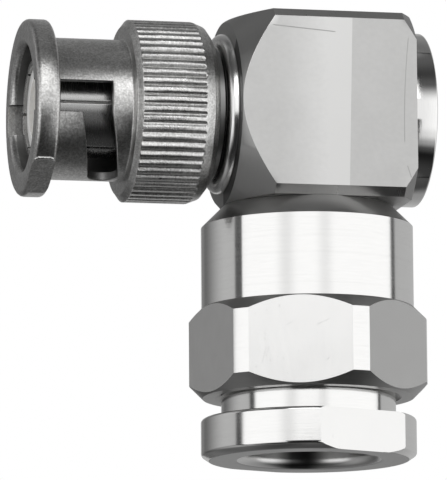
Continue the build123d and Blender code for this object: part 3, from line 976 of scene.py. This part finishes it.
def knurl_tree():
    """Presses V grooves into a turned band about an axis along X."""
    sizes = ("Ridges", "Depth", "Crest", "Radius", "Clocking", "Front", "Back", "Run in",
             "Run out", "Blend", "Axis height")
    tree, given = shape_tree("straight_knurl", dict.fromkeys(sizes, "Float"))
    ridges, depth, crest, band, clocking, front, back, run_in, run_out, blend, axis = (
        given[name] for name in sizes)
    x, y, z = split_xyz(add_node(tree, "GeometryNodeInputPosition"))
    up = z - axis
    radius = (y * y + up * up).math("SQRT")
    turns = ((up * -1).math("ARCTAN2", y * -1) - clocking) * ridges / (2 * pi)
    away = (turns - turns.math("ROUND")).math("ABSOLUTE")
    pitch = band * (2 * pi) / ridges
    mouth = (pitch - crest) / 2
    from_valley = (away * -1 + 0.5) * pitch
    full = ((back - x) / run_out).math("MINIMUM", (x - front) / run_in)
    full = full.math("MINIMUM", 1.0).math("MAXIMUM", 0.0)
    floor = band - depth * full + from_valley * depth / mouth
    pressed = radius.math("SMOOTH_MIN", floor, blend)
    inside = x.math("GREATER_THAN", front) * x.math("LESS_THAN", back)
    inside = inside * radius.math("GREATER_THAN", band - depth * 2.5)
    ratio = (pressed / radius - 1) * inside
    shift = add_node(tree, "ShaderNodeCombineXYZ", values={"Y": y * ratio, "Z": up * ratio})
    knurled = add_node(tree, "GeometryNodeSetPosition", values={
        "Geometry": given["Piece"], "Offset": shift})
    return finish_tree(tree, knurled, given["Finish"])


def satin_nickel():
    """Satin nickel over a blasted surface: fine pits all over and brighter crests."""
    f = Finish("satin_nickel")
    pits = f.noise(f.place, 6.5, 1.0)
    coarse = f.noise(f.place, 2.5, 2.0)
    cloud = f.noise(f.place, 0.5)
    radius = f.axis_radius("interface")
    crest = radius.between(band_radius - ridge_depth, band_radius - 0.02)
    return f.set(
        Base_Color=f.colour(pits * 1.5 + coarse * 0.8 + crest * 0.3 - 0.9,
                            (0.46, 0.458, 0.45), (0.90, 0.897, 0.888)),
        Metallic=1.0,
        Roughness=0.28 + cloud * 0.08 - crest * 0.04,
        Normal=f.bump(pits * 0.8 + coarse, 12.0),
    )


ring_nickel = satin_nickel()
# A darker copy of the turned nickel, which is painted shade for the inside of the ring.
ring_bore_dull = turned_nickel("ring_bore_dull", "interface", shine=0.35, roughness=0.4)
run_tree(coupling_ring, knurl_tree(), {
    "Finish": ring_nickel,
    "Ridges": float(ridge_count), "Depth": ridge_depth * mm, "Crest": ridge_crest * mm,
    "Radius": band_radius * mm, "Clocking": radians(ridge_clocking),
    "Front": band_front * mm, "Back": ridge_end * mm, "Run in": ridge_run_in * mm,
    "Run out": ridge_run_out * mm, "Blend": ridge_blend * mm, "Axis height": axis_height * mm,
})

slot_count = 2
slot_width = 2.45
slot_floor_radius = ring_bore - 0.6
slot_depth_radius = 5.85
slot_clocking = -1.0
entry_end = ring_front + 6.28
ramp_width = 2.40
ramp_start = ring_front + 4.84
ramp_rise = 1.40
ramp_turn = 79.0
edge_break = 0.06


def slot_span(angle, radius, grow):
    """Lowest and highest x of the slot at this angle in degrees and at this radius."""
    half_entry = degrees(asin((slot_width / 2 + grow) / radius))
    if abs(angle) <= half_entry + 1e-9:
        return ring_front - 1, entry_end + grow
    mill = ramp_width / 2 + grow
    past = radians(angle - ramp_turn) * radius
    middle = ramp_start + ramp_rise * min(angle, ramp_turn) / ramp_turn
    reach = mill if past <= 0 else sqrt(max(mill * mill - past * past, 0))
    return middle - reach, middle + reach


def milled_slot():
    """The milled slot as a solid: straight entry, ramp and round latch, broken at its edge."""
    entry_steps, ramp_steps, latch_steps, across = 16, 60, 14, 6
    mesh = bmesh.new()
    layers = [(slot_floor_radius, 0), (neck_radius - edge_break, 0),
              (neck_radius, edge_break), (slot_depth_radius, edge_break)]
    grids = []
    for radius, grow in layers:
        half_entry = degrees(asin((slot_width / 2 + grow) / radius))
        end_turn = ramp_turn + degrees((ramp_width / 2 + grow) / radius)
        entry = [-half_entry + 2 * half_entry * i / entry_steps for i in range(entry_steps + 1)]
        ramp = [half_entry + (ramp_turn - half_entry) * i / ramp_steps
                for i in range(ramp_steps + 1)]
        latch = [ramp_turn + (end_turn - ramp_turn) * sin(pi / 2 * i / latch_steps)
                 for i in range(1, latch_steps + 1)]
        rows = [(a, *slot_span(a, radius, grow)) for a in entry]
        rows += [(a, *slot_span(a + 1e-6, radius, grow)) for a in ramp + latch]
        grids.append([[mesh.verts.new(put("interface", x, radius, radians(a)))
                       for x in (low + (high - low) * k / across for k in range(across + 1))]
                      for a, low, high in rows])
    count = len(grids[0])
    for grid, order in ((grids[0], 1), (grids[-1], -1)):
        for j in range(count - 1):
            for k in range(across):
                around = [grid[j][k], grid[j][k + 1], grid[j + 1][k + 1], grid[j + 1][k]]
                mesh.faces.new(around[::order])
    for inner, outer in zip(grids, grids[1:]):
        for j in range(count - 1):
            for k in (0, across):
                mesh.faces.new([inner[j][k], inner[j + 1][k], outer[j + 1][k], outer[j][k]])
        for j in (0, count - 1):
            for k in range(across):
                mesh.faces.new([inner[j][k], inner[j][k + 1], outer[j][k + 1], outer[j][k]])
    for v in mesh.verts:
        v.co.z -= axis_height * mm
    bmesh.ops.remove_doubles(mesh, verts=mesh.verts, dist=2e-7)
    return add_mesh("slot_tool", mesh)


cut_round(coupling_ring, milled_slot(), slot_count, radians(slot_clocking), ring_nickel)
flat_tool = box_tool("flat_tool", (ring_front - 1, -flange_radius - 1, -flange_radius),
                     (flange_foot + 0.02, -flat_distance, flange_radius))
cut_round(coupling_ring, flat_tool, 1, radians(flat_clocking), ring_nickel)

lip_radius = 0.15
lip_steps = 12
lip_straight = 0.55
lip_bend = 3.4
lip_inset = 0.4
lip_end_size = 0.35
lip_sides = 12


def raised_lip(piece):
    """A fine bead raised along the upper edge of the marking flat, bent down at both ends."""
    half = (flange_foot - ring_front) / 2
    flat_turn = flat_clocking - degrees(acos(flat_distance / flange_radius)) + lip_inset
    points = []
    for i in range(2 * lip_steps + 1):
        along = -1 + i / lip_steps
        drop = min(1, max(0, abs(along) - lip_straight) / (1 - lip_straight))
        turn = radians(flat_turn + lip_bend * (1 - sqrt(1 - drop ** 2 * 0.98)))
        reach = min(flange_radius, flat_distance / cos(radians(flat_clocking) - turn)) - 0.02
        x = ring_front + half + along * (half - lip_radius)
        points.append(Vector(put("interface", x, reach, turn)))
    last = len(points) - 1
    turns = [2 * pi * k / lip_sides for k in range(lip_sides)]
    mesh = bmesh.new()
    mesh.from_mesh(piece.data)
    rings = []
    for i, point in enumerate(points):
        ahead = (points[min(i + 1, last)] - points[max(i - 1, 0)]).normalized()
        outward = Vector((0, point.y, point.z - axis_height * mm)).normalized()
        sideways = ahead.cross(outward).normalized()
        size = lip_radius * mm * (lip_end_size if i in (0, last) else 1)
        rings.append([mesh.verts.new(point + (outward * cos(t) + sideways * sin(t)) * size)
                      for t in turns])
    added = []
    for near, far in zip(rings, rings[1:]):
        for k in range(lip_sides):
            beside = (k + 1) % lip_sides
            added.append(mesh.faces.new([near[k], near[beside], far[beside], far[k]]))
    added += [mesh.faces.new(rings[0]), mesh.faces.new(rings[-1])]
    bmesh.ops.recalc_face_normals(mesh, faces=added)
    mesh.to_mesh(piece.data)
    mesh.free()


raised_lip(coupling_ring)
finish_edges(coupling_ring, 0, 38)
# Inside the ring, behind its mouth, the bore, the slots' walls and the chamber's front step take
# that darker copy as painted shade.
coupling_ring.data.materials.append(ring_bore_dull)
bore_shade_index = len(coupling_ring.data.materials) - 1
zone(coupling_ring, bore_shade_index, lambda middle, normal: (
    middle.x > ring_front + 0.75 and hypot(middle.y, middle.z - axis_height) < neck_radius - 0.05))
dress(coupling_ring, "coupling_ring", "satin_nickel")
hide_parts("coupling_ring")


# The collar is pressed on the hub against the head. Its slim neck reaches under the back of the
# coupling ring, and its shoulder is rounded.
collar_low, collar_high = (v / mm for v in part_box("front_collar"))
collar_neck = 5.3
collar_neck_rounding = 0.1
collar_width = 0.89
collar_shoulder_rounding = 0.74
collar_bore = 4.77
collar = turned("shoulder_collar", "interface", [
    (collar_low.x, collar_bore),
    (collar_low.x, collar_neck, 0.08),
    (collar_high.x - collar_width, collar_neck, collar_neck_rounding),
    (collar_high.x - collar_width, collar_high.y, collar_shoulder_rounding),
    (collar_high.x, collar_high.y, 0.05),
    (collar_high.x, collar_bore),
])
finish_edges(collar, 0)
# The neck and the bore, under the back of the coupling ring, take a darker copy of the turned
# nickel as painted shade.
zone(collar, 1, lambda middle, normal: (
    hypot(middle.y, middle.z - axis_height) < collar_neck + 0.15 and normal.x > -0.5))


def collar_nickel():
    """Painted light and shade: bright on its rim and on top, and painted near black towards the
    neck, in the gap's shade.
    """
    f = Finish("collar_nickel")
    rim = f.axis_radius("interface").between(collar_neck + 0.1, collar_high.y + 0.05)
    top = f.z.between(axis_height + 3.4, axis_height + 4.6)
    return f.set(Base_Color=f.colour(rim.math("MAXIMUM", top), (0.07, 0.07, 0.07), nickel_light),
                 Metallic=1.0, Roughness=0.2)


collar_dull = turned_nickel("collar_dull", "interface", shine=0.3, roughness=0.32)
dress(collar, "plug_body", "nickel_plate", collar_nickel(), collar_dull)
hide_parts("front_collar")


# The rear cap closes the soldering hole. It is turned from bar and pressed into the head over an
# O ring in its plug.
cap_low, cap_high = (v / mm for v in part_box("rear_cap"))
cap_plug_radius = 4.7
cap_plug_rounding = 0.1
cap_groove_start = 5.22
cap_groove_end = 6.32
cap_groove_radius = 3.78
cap_rounding = 0.16
rear_cap = turned("closing_cap", "interface", [
    (cap_low.x, 0),
    (cap_low.x, cap_plug_radius, cap_plug_rounding),
    (cap_groove_start, cap_plug_radius),
    (cap_groove_start, cap_groove_radius),
    (cap_groove_end, cap_groove_radius),
    (cap_groove_end, cap_plug_radius),
    (head_high.x, cap_plug_radius),
    (head_high.x, cap_high.y, 0.05),
    (cap_high.x, cap_high.y, cap_rounding),
    (cap_high.x, 0),
])
finish_edges(rear_cap, 0)
cap_nickel = turned_nickel("cap_nickel", "interface", roughness=0.03)
dress(rear_cap, "plug_body", "nickel_plate", cap_nickel)
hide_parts("rear_cap")


# The cable housing is turned from hexagon bar in one piece: the hexagon at its foot, a cylinder,
# a cone up to the head, and a spigot pressed into the head over an O ring.
housing_low, housing_high = (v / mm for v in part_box("cable_housing"))
hex_half = 8.475
hex_corner = 9.40
hex_top = housing_low.z + 7.12
hex_chamfer = 1.04
hex_clocking = radians(-17.15)
housing_radius = 8.395
cone_foot = 18.52
cone_top_radius = 6.75
mouth_radius = 7.35
spigot_radius = 5.4
spigot_groove_start = 20.7
spigot_groove_end = 21.8
spigot_groove_radius = 4.48
throat_radius = 3.65
barrel_bore_radius = 5.5
barrel_bore_top = 17.0
gasket_chamber_top = 13.6
thread_bore_radius = 6.95
thread_lead_in = 0.4
hex_flats = [(hex_clocking + radians(60 * i), hex_half) for i in range(6)]
hex_reach = acos(hex_half / hex_corner)
hex_corners = [a + s * hex_reach for a, _ in hex_flats for s in (-1, 1)]
housing = turned("cable_barrel", "cable", [
    (housing_low.z, mouth_radius),
    (housing_low.z, hex_corner - hex_chamfer),
    (housing_low.z + hex_chamfer, hex_corner),
    (hex_top - hex_chamfer, hex_corner),
    (hex_top - (housing_radius - hex_corner + hex_chamfer), housing_radius),
    (cone_foot, housing_radius),
    (head_low.z, cone_top_radius),
    (head_low.z, spigot_radius),
    (spigot_groove_start, spigot_radius),
    (spigot_groove_start, spigot_groove_radius),
    (spigot_groove_end, spigot_groove_radius),
    (spigot_groove_end, spigot_radius),
    (housing_high.z, spigot_radius),
    (housing_high.z, throat_radius),
    (barrel_bore_top, throat_radius),
    (barrel_bore_top, barrel_bore_radius),
    (gasket_chamber_top, barrel_bore_radius),
    (gasket_chamber_top, thread_bore_radius),
    (housing_low.z + thread_lead_in, thread_bore_radius),
], flats=hex_flats, corners=hex_corners)
finish_edges(housing, 0, 20)


def painted_shade_faces(middle, normal):
    """The cone, the hexagon's chamfers, the underside and the mouth of the bore, which get painted
    shade.
    """
    on_cone = middle.z > cone_foot and normal.z > 0.4
    on_chamfer = middle.z < hex_top and 0.4 < abs(normal.z) < 0.9
    at_foot = middle.z < housing_low.z + 2
    in_bore = hypot(middle.x, middle.y) < mouth_radius + 0.15
    return on_cone or on_chamfer or (at_foot and (normal.z < -0.9 or in_bore))


zone(housing, 2, painted_shade_faces)
turned_bright = turned_nickel("turned_nickel_cable", "cable", roughness=0.08)
# A darker copy of the turned nickel, laid as painted shade on those faces and on the nut's
# underside.
turned_nickel_painted_shade = turned_nickel("turned_dull_cable", "cable", shine=0.5, roughness=0.3)
front_nicks = (
    ((-0.84, 9.75), 28, 0.5), ((1.5, 9.68), 35, 0.55), ((2.04, 9.93), 30, 0.4),
    ((-2.8, 7.5), 75, 0.8), ((-2.96, 6.9), 80, 0.5), ((-2.55, 7.7), 72, 0.4),
    ((2.1, 6.9), 40, 0.3))
hex_drawn = drawn_nickel("drawn_nickel", (2.5, 2.5, 0.6), roughness=0.13,
                         nicked=(hex_clocking, hex_half, front_nicks))
dress(housing, "plug_body", "nickel_plate", turned_bright, hex_drawn, turned_nickel_painted_shade)
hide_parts("cable_housing")


# The braid clamp is a flanged sleeve of turned brass in the housing. The cable's braid is combed
# out over it, and the gasket presses on its flange.
coat(turned_nickel("braid_clamp_nickel", "cable"), "braid_clamp")


# The gland nut clamps the cable. It is turned with a flanged head, has two milled wrench flats,
# and its threaded shank screws up into the housing.
nut_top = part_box("gland_nut")[1].z / mm
nut_flange_radius = 8.5
nut_flange_height = 3.28
nut_flange_rounding = 0.28
nut_foot_radius = 7.87
nut_foot_chamfer = 0.42
nut_foot_rounding = 0.3
nut_shank = 6.89
nut_bore = 5.2
nut_mouth_rounding = 0.8
wrench_half = 7.5
wrench_clocking = radians(21)
thread_pitch = 1.0
thread_depth = 0.42
thread_start = 5.1
thread_flank = 1.25
thread_land = 0.1
thread_rows = 90
thread_relief = 0.3
wrench_columns = 15
wrench_column_step = 0.75
wrench_flats = [(wrench_clocking, wrench_half), (wrench_clocking + pi, wrench_half)]
wrench_reach = acos(wrench_half / nut_flange_radius)
wrench_corners = [a + s * (wrench_reach - radians(wrench_column_step * i))
                  for a, _ in wrench_flats for s in (-1, 1) for i in range(wrench_columns)]


def thread(angle, axial, radius):
    """Rolls the thread into the shank's outside, fading in at its lower end."""
    if abs(radius - nut_shank) > 0.01 or axial < thread_start:
        return radius
    turn = (axial / thread_pitch - angle / (2 * pi)) % 1
    flank = 1 - abs(2 * turn - 1)
    fade = min(1, (axial - thread_start) / thread_pitch)
    return radius - thread_depth * fade * max(0, min(1, flank * thread_flank - thread_land))


gland_nut = turned("clamping_nut", "cable", [
    *arc_corner((2, nut_bore), (0, nut_bore), (0, nut_foot_radius), nut_mouth_rounding, 8),
    (0, nut_foot_radius, nut_foot_rounding),
    (nut_foot_chamfer, nut_flange_radius, nut_foot_rounding),
    (nut_flange_height, nut_flange_radius, nut_flange_rounding),
    (nut_flange_height, nut_shank),
    *rows_between((nut_flange_height + thread_relief, nut_shank), (nut_top, nut_shank),
                  thread_rows),
    (nut_top, nut_shank - thread_depth),
    (nut_top, nut_bore),
], flats=wrench_flats, flats_end=nut_flange_height, corners=wrench_corners, shaped=thread)
finish_edges(gland_nut, 0)
# The underside takes the darker copy of the turned nickel as painted shade. The bore and its
# rounded mouth take painted light at their sides and painted shade in their middle.
zone(gland_nut, 2, lambda middle, normal: normal.z < -0.9 and middle.z < 0.3)
zone(gland_nut, 3, lambda middle, normal: (
    normal.z > -0.9 and hypot(middle.x, middle.y) < nut_bore + nut_mouth_rounding))
wrench_milled = drawn_nickel("milled_nickel", (1.5, 1.5, 2.0), roughness=0.14, depth=0.3)


def worn_bore():
    """The nut's bore with painted light and shade: near black in its middle and painted light at
    its sides.
    """
    f = Finish("worn_bore")
    side = (f.x - 0.5).math("ABSOLUTE").between(0.5, 2.4)
    return f.set(Base_Color=f.colour(side, (0.10, 0.10, 0.10), (0.82, 0.817, 0.808)),
                 Metallic=1.0, Roughness=0.34)


dress(gland_nut, "gland_nut", "nickel_plate",
      turned_bright, wrench_milled, turned_nickel_painted_shade, worn_bore())
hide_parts("gland_nut")
